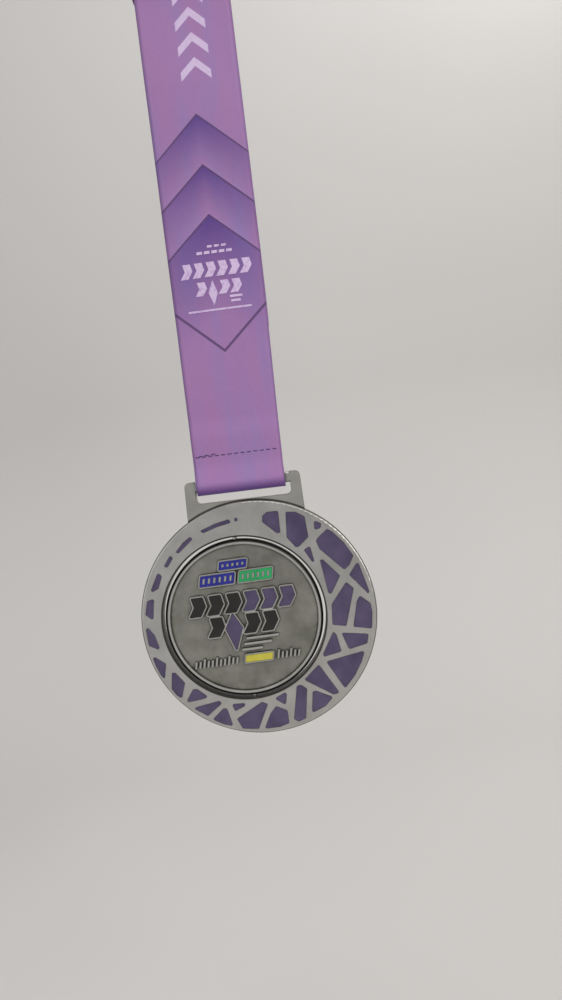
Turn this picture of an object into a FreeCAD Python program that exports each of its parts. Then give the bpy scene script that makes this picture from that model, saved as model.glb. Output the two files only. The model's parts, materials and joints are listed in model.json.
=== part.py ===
"""Sports finisher medal on a neck ribbon: a cast ring with a lug, a disc that spins in it on two pins,
enamel fills, and the woven ribbon, looped through the lug and tied into a short hank."""

import FreeCAD
import Part

import math
import os

Vector = FreeCAD.Vector
FRONT_TURN = FreeCAD.Rotation(Vector(1, 0, 0), 90)      # turns a shape's own +Z to the medal's front, -Y

# ---------------------------------------------------------------- driving dimensions, mm and degrees

SIZES = [
    # ring and its eccentric opening
    ("ring_diameter", 65.0),
    ("ring_thickness", 3.6),
    ("ring_edge_round", 0.6),
    ("opening_diameter", 45.0),
    ("opening_left", 4.0),            # the opening's centre, left of the ring's centre
    ("opening_up", 0.4),              # and above it
    # spinning disc
    ("disc_gap", 0.7),
    ("disc_thickness", 3.2),
    ("disc_bevel", 0.6),
    ("disc_rim", 0.8),
    ("field_depth", 0.6),
    # pivot pins, pressed in the disc and free in the ring
    ("pin_diameter", 1.2),
    ("pin_grip", 2.5),
    ("pin_reach", 1.8),
    ("pin_play", 0.05),
    ("pin_end_gap", 0.2),
    # lug with its slot and bar
    ("lug_width", 31.6),
    ("lug_flare", 1.5),
    ("lug_root", 12.0),
    ("lug_rise", 6.5),
    ("lug_thickness", 2.2),
    ("lug_corner", 1.4),
    ("slot_length", 26.0),
    ("slot_height", 3.1),
    ("slot_corner", 1.2),
    ("bar_height", 3.0),
    ("bar_round", 0.9),
    ("bar_tail", 0.8),                # how far the bar runs into each side post
    # enamel
    ("recess_depth", 0.6),
    ("enamel_thickness", 0.5),
    ("enamel_corner", 0.45),
    ("art_rise", 0.5),
    ("art_recess", 0.4),
    ("art_enamel", 0.3),
    ("art_outline", 0.4),
    # ribbon
    ("ribbon_width", 25.0),
    ("ribbon_thickness", 0.8),
    ("layer_gap", 0.2),
    ("bar_clearance", 0.2),
    ("hook_radius", 3.0),
    ("hang_length", 160.0),           # from the hook down to the middle of the bar
    ("hank_length", 115.0),           # from the hook down to the hank's lower bend
    ("seam_height", 10.5),            # stitch row above the lowest edge of the fold
    ("stitch_length", 1.7),
    ("stitch_pitch", 2.3),
    ("stitch_thickness", 0.25),
    ("stitch_width", 0.4),
    ("tie_top", 25.0),                # below the hook
    ("tie_height", 5.0),
    ("tie_thickness", 0.8),
]

doc = FreeCAD.newDocument("finisher_medal")
sheet = doc.addObject("Spreadsheet::Sheet", "sizes")
for row, (alias, value) in enumerate(SIZES, start=1):
    sheet.set("A%d" % row, alias)
    sheet.set("B%d" % row, str(value))
    sheet.setAlias("B%d" % row, alias)
doc.recompute()


def size(alias):
    return float(getattr(sheet, alias))


# ---------------------------------------------------------------- small helpers

def made(kind, name, **properties):
    """A document object whose properties are numbers, links, or expressions on the sheet."""
    thing = doc.addObject(kind, name)
    for key, value in properties.items():
        path = key.replace("__", ".")
        if isinstance(value, str):
            thing.setExpression(path, value)
        else:
            setattr(thing, path, value)
    return thing


def front_cylinder(name, radius, height, front, x="0", z=None):
    """A cylinder along Y whose front end is at y = medal plane - front."""
    thing = made("Part::Cylinder", name, Radius=radius, Height=height)
    thing.Placement = FreeCAD.Placement(Vector(), FRONT_TURN)
    thing.setExpression("Placement.Base.x", x)
    thing.setExpression("Placement.Base.y", "%s - (%s) + (%s)" % (MEDAL_Y, front, height))
    thing.setExpression("Placement.Base.z", z or RING_Z)
    return thing


def block(name, wide, deep, tall, x, y, z):
    """A box whose lowest corner is at x, y, z."""
    return made("Part::Box", name, Length=wide, Width=deep, Height=tall,
                Placement__Base__x=x, Placement__Base__y=y, Placement__Base__z=z)


def edges_where(shape, test):
    return [number for number, edge in enumerate(shape.Edges, start=1) if test(edge)]


def rounded(name, base, radius, test):
    """The base with every edge that passes the test rounded."""
    doc.recompute()
    numbers = edges_where(base.Shape, test)
    result = doc.addObject("Part::Fillet", name)
    result.Base = base
    result.Edges = [(number, radius, radius) for number in numbers]
    return result


def is_circle(edge):
    return isinstance(edge.Curve, Part.Circle)


def runs_along(edge, axis):
    if not isinstance(edge.Curve, Part.Line):
        return False
    return abs(edge.tangentAt(edge.FirstParameter).dot(axis)) > 0.999


def cut(name, base, tool):
    return made("Part::Cut", name, Base=base, Tool=tool)


def feature(name, shape, placement):
    thing = doc.addObject("Part::Feature", name)
    thing.Shape = shape
    thing.Placement = placement
    return thing


def label(thing, name):
    thing.Label = name
    NODES.append((name, thing))


def rounded_outline(points, radius):
    """A closed wire in the XY plane through the points, each corner an arc of at most that radius."""
    corners = [Vector(x, y, 0) for x, y in points]
    count = len(corners)
    entries = []
    for index, corner in enumerate(corners):
        before = corners[index - 1] - corner
        after = corners[(index + 1) % count] - corner
        half = before.getAngle(after) / 2
        reach = min(radius / math.tan(half), 0.45 * min(before.Length, after.Length))
        start = corner + before.normalize() * reach
        end = corner + after.normalize() * reach
        bend = reach * math.tan(half)
        inward = (before + after).normalize()
        middle = corner + inward * (bend / math.sin(half) - bend)
        entries.append((start, middle, end))
    edges = []
    for index, (start, middle, end) in enumerate(entries):
        edges.append(Part.Arc(start, middle, end).toShape())
        edges.append(Part.makeLine(end, entries[(index + 1) % count][0]))
    return Part.Wire(edges)


def plate(wire, thickness):
    return Part.Face(wire).extrude(Vector(0, 0, thickness))


# ---------------------------------------------------------------- places worked out from the sizes

PITCH = "(sizes.ribbon_thickness + sizes.layer_gap)"
MEDAL_Y = "(-(%s / 2 + sizes.hook_radius + sizes.ribbon_thickness / 2))" % PITCH
BAR_Z = "(-sizes.hang_length)"
RING_Z = "(%s + sizes.bar_height / 2 - sizes.lug_rise - sizes.ring_diameter / 2)" % BAR_Z
DISC_X = "(-sizes.opening_left)"
DISC_Z = "(%s + sizes.opening_up)" % RING_Z
LUG_TOP = "(%s + sizes.bar_height / 2)" % BAR_Z
DISC_RADIUS = "(sizes.opening_diameter / 2 - sizes.disc_gap)"

pitch = size("ribbon_thickness") + size("layer_gap")
medal_y = -(pitch / 2 + size("hook_radius") + size("ribbon_thickness") / 2)
bar_z = -size("hang_length")
ring_radius = size("ring_diameter") / 2
opening_radius = size("opening_diameter") / 2
ring_z = bar_z + size("bar_height") / 2 - size("lug_rise") - ring_radius
disc_radius = opening_radius - size("disc_gap")
NODES = []

# ---------------------------------------------------------------- enamel cells of the ring

# Each cell's corners: (clock bearing from the top in degrees, percent of the way from the opening's
# edge to the ring's rim on that bearing), clockwise from the rounded cell beside the lug.
CELLS = [
    ((9, 43), (9, 58), (11, 69), (17, 77), (21, 28), (19, 23)),
    ((21, 79), (26, 86), (31, 84), (38, 49), (36, 19), (34, 14), (26, 23)),
    ((36, 86), (40, 89), (41, 80), (39, 69)),
    ((40, 20), (42, 35), (51, 18), (50, 14)),
    ((44, 87), (47, 89), (55, 90), (63, 89), (66, 73), (67, 59), (48, 44), (43, 52), (43, 63)),
    ((53, 29), (54, 34), (69, 46), (78, 17), (77, 12)),
    ((67, 87), (68, 90), (83, 90), (84, 87), (71, 63)),
    ((74, 52), (79, 62), (102, 40), (102, 13), (86, 13)),
    ((84, 70), (89, 88), (94, 90), (102, 90), (102, 54), (87, 62)),
    ((107, 16), (109, 23), (119, 42), (128, 14), (126, 10)),
    ((107, 32), (105, 85), (110, 86), (116, 55)),
    ((130, 23), (114, 85), (120, 87), (128, 88), (136, 87), (136, 82)),
    ((135, 13), (140, 85), (143, 77), (151, 11)),
    ((151, 43), (149, 47), (144, 81), (150, 86), (158, 83)),
    ((158, 11), (155, 15), (153, 30), (162, 87), (166, 88), (168, 79)),
    ((176, 14), (168, 10), (167, 15), (170, 39)),
    ((176, 34), (170, 53), (171, 84), (176, 88), (184, 88), (180, 49)),
    ((185, 15), (181, 23), (187, 88), (195, 90), (199, 64)),
    ((204, 22), (196, 15), (196, 24), (201, 42)),
    ((208, 42), (206, 39), (200, 88), (205, 90), (211, 88)),
    ((212, 22), (210, 27), (214, 84), (222, 86), (221, 73)),
    ((229, 29), (227, 19), (219, 24), (221, 39), (227, 86)),
    ((244, 43), (243, 32), (235, 30), (230, 84), (233, 88), (237, 86)),
    ((257, 84), (250, 43), (243, 84), (246, 87), (251, 87)),
    ((273, 82), (267, 46), (258, 39), (262, 82)),
    ((285, 76), (287, 47), (275, 43), (278, 79)),
    ((301, 66), (300, 44), (293, 38), (289, 71)),
    ((312, 60), (312, 44), (306, 40), (305, 55)),
    ((327, 56), (327, 44), (316, 39), (315, 50), (322, 56)),
    ((350, 55), (351, 44), (342, 42), (334, 42), (333, 54), (342, 54)),
]
DOT_CELL = (354, 50)
DOT_RADIUS = 0.45
RECESS_SPARE = 1.0       # a recess's cutter stands this far out of the ring's face


def ring_point(bearing, percent):
    """A point on the ring's face, from its bearing and how far it is across the metal."""
    angle = math.radians(bearing)
    side, up = math.sin(angle), math.cos(angle)
    left, lift = -size("opening_left"), size("opening_up")
    along = side * left + up * lift
    inner = along + math.sqrt(along ** 2 - left ** 2 - lift ** 2 + opening_radius ** 2)
    radius = inner + (ring_radius - inner) * percent / 100
    return side * radius, up * radius


def cell_wires():
    wires = []
    for cell in CELLS:
        wires.append(rounded_outline([ring_point(*corner) for corner in cell], size("enamel_corner")))
    centre = Vector(*ring_point(*DOT_CELL), 0)
    wires.append(Part.Wire(Part.makeCircle(DOT_RADIUS, centre)))
    return wires


def on_face(depth, x=0.0, z=0.0):
    """The placement of a flat shape that rises to the front from depth behind the medal's middle."""
    return FreeCAD.Placement(Vector(x, medal_y - depth, ring_z + z), FRONT_TURN)


ring_wires = cell_wires()
recess_floor = size("ring_thickness") / 2 - size("recess_depth")
ring_recesses = feature("ring_recesses", Part.makeCompound(
    [plate(wire, size("recess_depth") + RECESS_SPARE) for wire in ring_wires]), on_face(recess_floor))
for number, wire in enumerate(ring_wires, start=1):
    fill = feature("ring_enamel_%02d" % number, plate(wire, size("enamel_thickness")), on_face(recess_floor))
    label(fill, "ring_enamel_%02d" % number)

# ---------------------------------------------------------------- ring casting with its lug

ring_blank = front_cylinder("ring_blank", "sizes.ring_diameter / 2", "sizes.ring_thickness",
                            "sizes.ring_thickness / 2")
ring_rounded = rounded("ring_rounded", ring_blank, size("ring_edge_round"), is_circle)

lug_tall = "(sizes.lug_rise + sizes.lug_root)"
lug_spread = "(%s * tan(sizes.lug_flare))" % lug_tall
lug_plate = made("Part::Wedge", "lug_plate",
                 Xmin="-sizes.lug_width / 2 - %s" % lug_spread, Xmax="sizes.lug_width / 2 + %s" % lug_spread,
                 Ymin=0.0, Ymax=lug_tall,
                 Zmin="-sizes.lug_thickness / 2", Zmax="sizes.lug_thickness / 2",
                 X2min="-sizes.lug_width / 2", X2max="sizes.lug_width / 2",
                 Z2min="-sizes.lug_thickness / 2", Z2max="sizes.lug_thickness / 2")
lug_plate.Placement = FreeCAD.Placement(Vector(), FRONT_TURN)
lug_plate.setExpression("Placement.Base.y", MEDAL_Y)
lug_plate.setExpression("Placement.Base.z", "%s - %s" % (LUG_TOP, lug_tall))


def at_lug_top(edge):
    top = bar_z + size("bar_height") / 2
    return runs_along(edge, Vector(0, 1, 0)) and abs(edge.CenterOfMass.z - top) < 0.01


lug_rounded = rounded("lug_rounded", lug_plate, size("lug_corner"), at_lug_top)
lug_window_box = block("lug_window_box", "sizes.slot_length", "2 * sizes.lug_thickness",
                       "sizes.slot_height + 2 * sizes.bar_height",
                       "-sizes.slot_length / 2", "%s - sizes.lug_thickness" % MEDAL_Y,
                       "%s - sizes.bar_height / 2 - sizes.slot_height" % BAR_Z)


def at_window_floor(edge):
    floor = bar_z - size("bar_height") / 2 - size("slot_height")
    return runs_along(edge, Vector(0, 1, 0)) and abs(edge.CenterOfMass.z - floor) < 0.01


lug_window = rounded("lug_window", lug_window_box, size("slot_corner"), at_window_floor)
lug_open = cut("lug_open", lug_rounded, lug_window)
bar_blank = block("bar_blank", "sizes.slot_length + 2 * sizes.bar_tail", "sizes.lug_thickness",
                  "sizes.bar_height", "-sizes.slot_length / 2 - sizes.bar_tail",
                  "%s - sizes.lug_thickness / 2" % MEDAL_Y, "%s - sizes.bar_height / 2" % BAR_Z)
lug_bar = rounded("lug_bar", bar_blank, size("bar_round"), lambda edge: runs_along(edge, Vector(1, 0, 0)))

casting_blank = made("Part::MultiFuse", "casting_blank", Shapes=[ring_rounded, lug_open, lug_bar])
opening_cutter = front_cylinder("opening_cutter", "sizes.opening_diameter / 2", "2 * sizes.ring_thickness",
                                "sizes.ring_thickness", DISC_X, DISC_Z)
casting_opened = cut("casting_opened", casting_blank, opening_cutter)


def pin(name, upward, radius, low, high):
    """A vertical cylinder on the spin axis, from low to high beyond the disc's centre, up or down."""
    base = "%s + (%s)" % (DISC_Z, low) if upward else "%s - (%s)" % (DISC_Z, high)
    return made("Part::Cylinder", name, Radius=radius, Height="(%s) - (%s)" % (high, low),
                Placement__Base__x=DISC_X, Placement__Base__y=MEDAL_Y, Placement__Base__z=base)


PIN_ROOT = "%s - sizes.pin_grip" % DISC_RADIUS
PIN_TIP = "sizes.opening_diameter / 2 + sizes.pin_reach"
bore_radius = "sizes.pin_diameter / 2 + sizes.pin_play"
bore_end = "%s + sizes.pin_end_gap" % PIN_TIP
bore_top = pin("bore_top", True, bore_radius, DISC_RADIUS, bore_end)
bore_bottom = pin("bore_bottom", False, bore_radius, DISC_RADIUS, bore_end)
ring_cutters = made("Part::Compound", "ring_cutters", Links=[ring_recesses, bore_top, bore_bottom])
ring_casting = cut("ring_casting", casting_opened, ring_cutters)
label(ring_casting, "ring_casting")

# ---------------------------------------------------------------- pivot pins

pin_top = pin("pivot_pin_top", True, "sizes.pin_diameter / 2", PIN_ROOT, PIN_TIP)
pin_bottom = pin("pivot_pin_bottom", False, "sizes.pin_diameter / 2", PIN_ROOT, PIN_TIP)
label(pin_top, "pivot_pin_top")
label(pin_bottom, "pivot_pin_bottom")

# ---------------------------------------------------------------- raised art of the disc

ART_TILT = 1.2           # the rows climb this much to the right, degrees
ART_SLANT = 0.22         # how far a motif leans forward for its height
ART_CORNER = 0.25
# the rows, from the disc's centre: left edge of the first motif, foot of the row, height
UPPER_ROW = (-15.5, 1.8, 5.4)
LOWER_ROW = (-9.7, -4.4, 5.4)
MOTIF_WIDTH = 4.5
MOTIF_STEP = 4.95
MOTIF_NOTCH = 1.15
KITE_CENTRE = (-3.1, -2.6)
KITE_HALF_WIDTH = 2.4
KITE_ABOVE, KITE_BELOW = 4.4, 6.6
# plaques: left, foot, right, height, and how many small raised blocks stand in the enamel
PLAQUES = {
    "disc_plaque_blue": (-13.2, 9.9, -3.6, 3.0, 6),
    "disc_plaque_green": (-2.3, 9.9, 6.8, 3.0, 6),
    "disc_plaque_upper": (-8.2, 13.9, -0.6, 2.3, 5),
}
BLOCK_WIDTH = 0.62
BLOCK_MARGIN = 0.75      # from a plaque's ends, and from its foot and top
# fine raised ticks: left edge, foot, height, right edge, with the yellow bar's stretch left free
TICK_ROW = (-14.0, -12.6, 2.0, 17.6)
YELLOW_BAR = (1.3, -12.5, 8.9, 2.0)
TICK_STEP = 1.15
TICK_WIDTH = 0.62
TALL_TICK = 1.3          # every third tick is this many times as high
TICK_CORNER = 0.12
LINE_CORNER = 0.3
# raised lines without enamel: left, foot, right
SPEED_LINES = [(1.0, -6.2, 10.2), (0.5, -7.7, 8.4), (0.0, -9.2, 6.0)]
SPEED_LINE_HEIGHT = 0.7
ART_ROOT = 0.2           # raised art is rooted this far below the field before it is fused
CUT_SPARE = 0.5          # a recess's cutter stands this far out of the metal
NO_VOLUME = 0.001        # mm3, less than this is none


def leaned(points):
    """The points, leaned forward and turned to the rows' climb."""
    turn = math.radians(ART_TILT)
    result = []
    for x, y in points:
        along = x + ART_SLANT * y
        turned = (along * math.cos(turn) - y * math.sin(turn), along * math.sin(turn) + y * math.cos(turn))
        result.append(turned)
    return result


def chevron(left, foot, height, width=MOTIF_WIDTH):
    right = left + width - MOTIF_NOTCH
    middle = foot + height / 2
    return leaned([(left, foot), (right, foot), (right + MOTIF_NOTCH, middle), (right, foot + height),
                   (left, foot + height), (left + MOTIF_NOTCH, middle)])


def bar(left, foot, right, height):
    return leaned([(left, foot), (right, foot), (right, foot + height), (left, foot + height)])


def kite():
    """A tall four-cornered figure, widest above its middle."""
    x, y = KITE_CENTRE
    return [(x, y - KITE_BELOW), (x + KITE_HALF_WIDTH, y), (x, y + KITE_ABOVE), (x - KITE_HALF_WIDTH, y)]


def art_outlines():
    """Every enamelled motif of the disc, by node name."""
    left, foot, height = UPPER_ROW
    outlines = {}
    for number in range(6):
        colour = "black" if number < 3 else "violet"
        outlines["disc_%s_%d" % (colour, number + 1)] = chevron(left + number * MOTIF_STEP, foot, height)
    left, foot, height = LOWER_ROW
    for number, place in enumerate((0, 2, 3), start=7):
        outlines["disc_black_%d" % number] = chevron(left + place * MOTIF_STEP, foot, height)
    outlines["disc_kite"] = kite()
    for name, (left, foot, right, height, blocks) in PLAQUES.items():
        outlines[name] = bar(left, foot, right, height)
    outlines["disc_bar_yellow"] = bar(*YELLOW_BAR)
    return outlines


def enamel_pool(name, points, thickness):
    """The flat body of a motif's enamel, with the raised blocks of a plaque left standing in it."""
    pool = plate(rounded_outline(points, ART_CORNER), thickness)
    if name not in PLAQUES:
        return pool
    left, foot, right, height, blocks = PLAQUES[name]
    step = (right - left - 2 * BLOCK_MARGIN - BLOCK_WIDTH) / (blocks - 1)
    for number in range(blocks):
        x = left + BLOCK_MARGIN + number * step
        outline = bar(x, foot + BLOCK_MARGIN, x + BLOCK_WIDTH, height - 2 * BLOCK_MARGIN)
        pool = pool.cut(plate(rounded_outline(outline, TICK_CORNER), thickness))
    return pool


def plain_relief(rise):
    """The raised details that hold no enamel: the fine ticks and the speed lines."""
    left, foot, height, right = TICK_ROW
    solids = []
    for number in range(int((right - left) / TICK_STEP)):
        x = left + number * TICK_STEP
        if YELLOW_BAR[0] - 2 * TICK_WIDTH < x + TICK_WIDTH and x < YELLOW_BAR[2] + TICK_WIDTH:
            continue
        tall = height * (1.0 if number % 3 else TALL_TICK)
        solids.append(plate(rounded_outline(bar(x, foot, x + TICK_WIDTH, tall), TICK_CORNER), rise))
    for left, foot, right in SPEED_LINES:
        outline = bar(left, foot, right, SPEED_LINE_HEIGHT)
        solids.append(plate(rounded_outline(outline, LINE_CORNER), rise))
    field_radius = disc_radius - size("disc_bevel") - size("disc_rim")
    field = Part.makeCylinder(field_radius - size("art_outline"), rise)
    return [solid for solid in solids if solid.cut(field).Volume < NO_VOLUME]


motifs = art_outlines()
field_front = size("disc_thickness") / 2 - size("field_depth")
art_floor = field_front + size("art_rise") - size("art_recess")


def raised_plate(points):
    wire = rounded_outline(points, ART_CORNER)
    outer = Part.Face(wire).makeOffset2D(size("art_outline"))
    return outer.extrude(Vector(0, 0, size("art_rise") + ART_ROOT))


def disc_place(depth):
    return on_face(depth, -size("opening_left"), size("opening_up"))


first_plateau, *plateaus = [raised_plate(points) for points in motifs.values()]
art_solid = first_plateau.multiFuse(plateaus + plain_relief(size("art_rise") + ART_ROOT))
art_raised = feature("art_raised", art_solid, disc_place(field_front - ART_ROOT))
art_recesses = feature("art_recesses", Part.makeCompound(
    [enamel_pool(name, points, size("art_recess") + CUT_SPARE) for name, points in motifs.items()]),
    disc_place(art_floor))
for name, points in motifs.items():
    label(feature(name, enamel_pool(name, points, size("art_enamel")), disc_place(art_floor)), name)

# ---------------------------------------------------------------- disc casting

disc_blank = front_cylinder("disc_blank", DISC_RADIUS, "sizes.disc_thickness", "sizes.disc_thickness / 2",
                            DISC_X, DISC_Z)
doc.recompute()
disc_bevelled = doc.addObject("Part::Chamfer", "disc_bevelled")
disc_bevelled.Base = disc_blank
disc_bevelled.Edges = [(number, size("disc_bevel"), size("disc_bevel"))
                       for number in edges_where(disc_blank.Shape, is_circle)]
FIELD_RADIUS = "%s - sizes.disc_bevel - sizes.disc_rim" % DISC_RADIUS
field_cutter = front_cylinder("field_cutter", FIELD_RADIUS, "sizes.field_depth", "sizes.disc_thickness / 2",
                              DISC_X, DISC_Z)
back_cutter = front_cylinder("back_cutter", FIELD_RADIUS, "sizes.field_depth",
                             "sizes.field_depth - sizes.disc_thickness / 2", DISC_X, DISC_Z)
disc_sunk = cut("disc_sunk", disc_bevelled,
                made("Part::Compound", "field_cutters", Links=[field_cutter, back_cutter]))
disc_raised = made("Part::MultiFuse", "disc_raised", Shapes=[disc_sunk, art_raised])
pin_seats = made("Part::Compound", "pin_seats", Links=[art_recesses, pin_top, pin_bottom])
disc_casting = cut("disc_casting", disc_raised, pin_seats)
label(disc_casting, "disc_casting")

# ---------------------------------------------------------------- ribbon

# The ribbon's route in the YZ plane, as (y from the medal's plane, z, bend radius) of its middle line.
# It starts at the cut end behind the seam, runs up and over the hook, down and up again in the hank,
# and comes back to the front of the medal, round the bar and up between the two strands.

END_BELOW_SEAM = 2.75    # the back strand's cut end
FOLD_END_ABOVE = 4.0     # the end that went round the bar, sewn in between the strands
PART_ABOVE = 5.2         # above the seam the strands start to close on each other
PART_RUN = 4.0
PART_BEND = 8.0
WRAP_BELOW = 4.2         # below the seam the layers start to spread round the bar
WRAP_RUN = 2.4
WRAP_BEND = 1.2
BACK_START, BACK_END = 5.0, 15.0    # below the hook, the strands behind close on the hanging ones
BACK_BEND = 4.0
HANK_TURN = 1.95         # radius of the inner lower bend
HANK_START, HANK_END = 5.0, 13.0    # above the hank's lower bend, its layers close up
HANK_BEND = 5.0
EYE_START, EYE_END = 1.0, 3.5       # above the tie's top, the upper bend opens
EYE_TOP = 6.45
EYE_WIDTH = 1.4
EYE_BEND = 2.0


def ribbon_route():
    half = size("ribbon_thickness") / 2
    near, far = pitch / 2, 3 * pitch / 2
    fold = max(size("bar_height") / 2, size("lug_thickness") / 2) + size("bar_clearance") + half
    fold_low = bar_z - fold
    seam = fold_low - half + size("seam_height")
    seam_top = seam + PART_ABOVE
    seam_foot = seam - WRAP_BELOW
    wrap_foot = seam_foot - WRAP_RUN
    inner_turn = size("hook_radius") + half
    outer_turn = inner_turn + pitch
    top_in = half                                # middle line of the strand that touches the hook
    top_out = top_in + pitch
    back_in = near + 2 * inner_turn
    back_out = back_in + pitch
    low = -size("hank_length")
    turn_out = HANK_TURN + pitch
    hank_out = far + 2 * turn_out
    hank_in = far + pitch + 2 * HANK_TURN
    front_up, back_up = far + 2 * pitch, far + 3 * pitch
    tie = -size("tie_top")
    eye_bend = (pitch + EYE_WIDTH) / 2

    def parallel(run, rise):
        """How far a bend moves along the strip on the next layer, a pitch away."""
        return pitch * math.tan(math.atan2(run, rise) / 2)

    behind = parallel(back_in - far, BACK_END - BACK_START)
    under = parallel(hank_out - back_up, HANK_END - HANK_START)
    return [
        (pitch, seam - END_BELOW_SEAM, 0),
        (pitch, seam_top, PART_BEND), (near, seam_top + PART_RUN, PART_BEND),
        (near, top_in, inner_turn), (back_in, top_in, inner_turn),
        (back_in, -BACK_START, BACK_BEND), (far, -BACK_END, BACK_BEND),
        (far, low - turn_out, turn_out), (hank_out, low - turn_out, turn_out),
        (hank_out, low + HANK_START, HANK_BEND), (back_up, low + HANK_END, HANK_BEND),
        (back_up, tie + EYE_START, EYE_BEND), (back_up + EYE_WIDTH, tie + EYE_END, EYE_BEND),
        (back_up + EYE_WIDTH, tie + EYE_TOP, eye_bend), (front_up, tie + EYE_TOP, eye_bend),
        (front_up, low + HANK_END - under, HANK_BEND), (hank_in, low + HANK_START - under, HANK_BEND),
        (hank_in, low - HANK_TURN, HANK_TURN), (far + pitch, low - HANK_TURN, HANK_TURN),
        (far + pitch, -BACK_END - behind, BACK_BEND), (back_out, -BACK_START - behind, BACK_BEND),
        (back_out, top_out, outer_turn), (-near, top_out, outer_turn),
        (-near, seam_top + PART_RUN, PART_BEND), (-pitch, seam_top, PART_BEND),
        (-pitch, seam_foot, WRAP_BEND), (-fold, wrap_foot, WRAP_BEND),
        (-fold, fold_low, fold), (fold, fold_low, fold),
        (fold, wrap_foot, WRAP_BEND), (0, seam_foot, WRAP_BEND),
        (0, seam + FOLD_END_ABOVE, 0),
    ]


def strip_outline(route, half):
    """Both sides of a strip that follows the route, as one closed wire in the YZ plane."""
    points = [Vector(0, y + medal_y, z) for y, z, bend in route]
    left, right = [], []

    def side_of(direction):
        return Vector(0, -direction.z, direction.y)

    first = (points[1] - points[0]).normalize()
    place = {turn: points[0] + side_of(first) * half * turn for turn in (1, -1)}
    start = dict(place)
    chains = {1: left, -1: right}
    for index in range(1, len(points)):
        into = (points[index] - points[index - 1]).normalize()
        bend = route[index][2]
        if index == len(points) - 1:
            for turn, chain in chains.items():
                end = points[index] + side_of(into) * half * turn
                chain.append(Part.makeLine(place[turn], end))
                place[turn] = end
            break
        out = (points[index + 1] - points[index]).normalize()
        angle = into.getAngle(out)
        reach = bend * math.tan(angle / 2)
        begin = points[index] - into * reach
        finish = points[index] + out * reach
        to_centre = 1 if into.cross(out).x > 0 else -1
        centre = begin + side_of(into) * bend * to_centre
        middle_way = (points[index] - centre).normalize()
        for turn, chain in chains.items():
            radius = bend - half * turn * to_centre
            one = begin + side_of(into) * half * turn
            two = finish + side_of(out) * half * turn
            if (one - place[turn]).Length > 1e-6:
                chain.append(Part.makeLine(place[turn], one))
            chain.append(Part.Arc(one, centre + middle_way * radius, two).toShape())
            place[turn] = two
    caps = [Part.makeLine(start[1], start[-1]), Part.makeLine(place[1], place[-1])]
    return Part.Wire(Part.__sortEdges__(left + right + caps))


route = ribbon_route()
strip = Part.Face(strip_outline(route, size("ribbon_thickness") / 2))
ribbon_solid = strip.extrude(Vector(size("ribbon_width"), 0, 0))
ribbon_place = FreeCAD.Placement(Vector(-size("ribbon_width") / 2, 0, 0), FreeCAD.Rotation())
ribbon = feature("ribbon", ribbon_solid, ribbon_place)
label(ribbon, "ribbon")

# ---------------------------------------------------------------- seam stitches, front and back

seam_z = bar_z - (max(size("bar_height"), size("lug_thickness")) / 2 + size("bar_clearance")
                  + size("ribbon_thickness")) + size("seam_height")
seam_face = pitch + size("ribbon_thickness") / 2


SEAM_MARGIN = 1.0        # the seam stops this far from each selvedge


def seam_solids():
    count = int((size("ribbon_width") - 2 * SEAM_MARGIN) / size("stitch_pitch"))
    span = (count - 1) * size("stitch_pitch") + size("stitch_length")
    solids = []
    for number in range(count):
        x = -span / 2 + number * size("stitch_pitch")
        for y in (medal_y - seam_face - size("stitch_thickness"), medal_y + seam_face):
            solids.append(Part.makeBox(size("stitch_length"), size("stitch_thickness"), size("stitch_width"),
                                       Vector(x, y, seam_z - size("stitch_width") / 2)))
    return Part.makeCompound(solids)


label(feature("ribbon_seam", seam_solids(), FreeCAD.Placement()), "ribbon_seam")

# ---------------------------------------------------------------- tie round the hank's six layers

TIE_LOW = "-sizes.tie_top - sizes.tie_height"
tie_inside = "(sizes.ribbon_width + 2 * sizes.layer_gap)"
tie_depth = "(6 * %s + sizes.layer_gap)" % PITCH
tie_front = "(%s - %s - sizes.layer_gap / 2)" % (MEDAL_Y, PITCH)
tie_outer = block("tie_outer", "%s + 2 * sizes.tie_thickness" % tie_inside,
                  "%s + 2 * sizes.tie_thickness" % tie_depth, "sizes.tie_height",
                  "-%s / 2 - sizes.tie_thickness" % tie_inside,
                  "%s - sizes.tie_thickness" % tie_front, TIE_LOW)
tie_round = rounded("tie_round", tie_outer, size("tie_thickness"),
                    lambda edge: runs_along(edge, Vector(0, 0, 1)))
tie_inner = block("tie_inner", tie_inside, tie_depth, "3 * sizes.tie_height",
                  "-%s / 2" % tie_inside, tie_front, "-sizes.tie_top - 2 * sizes.tie_height")
ribbon_tie = cut("ribbon_tie", tie_round, tie_inner)
label(ribbon_tie, "ribbon_tie")

# ---------------------------------------------------------------- checks, then one file for each node

doc.recompute()
for thing in doc.Objects:
    if "Invalid" in thing.State or "Error" in thing.State:
        raise RuntimeError("%s failed: %s" % (thing.Label, thing.State))
os.makedirs("parts", exist_ok=True)
for name, thing in NODES:
    if thing.Shape.isNull() or not thing.Shape.isValid() or not thing.Shape.Solids:
        raise RuntimeError("%s has no valid solid" % name)
for name, thing in NODES:
    thing.Shape.exportStep("parts/%s.step" % name)
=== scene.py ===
import json
import math

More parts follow.
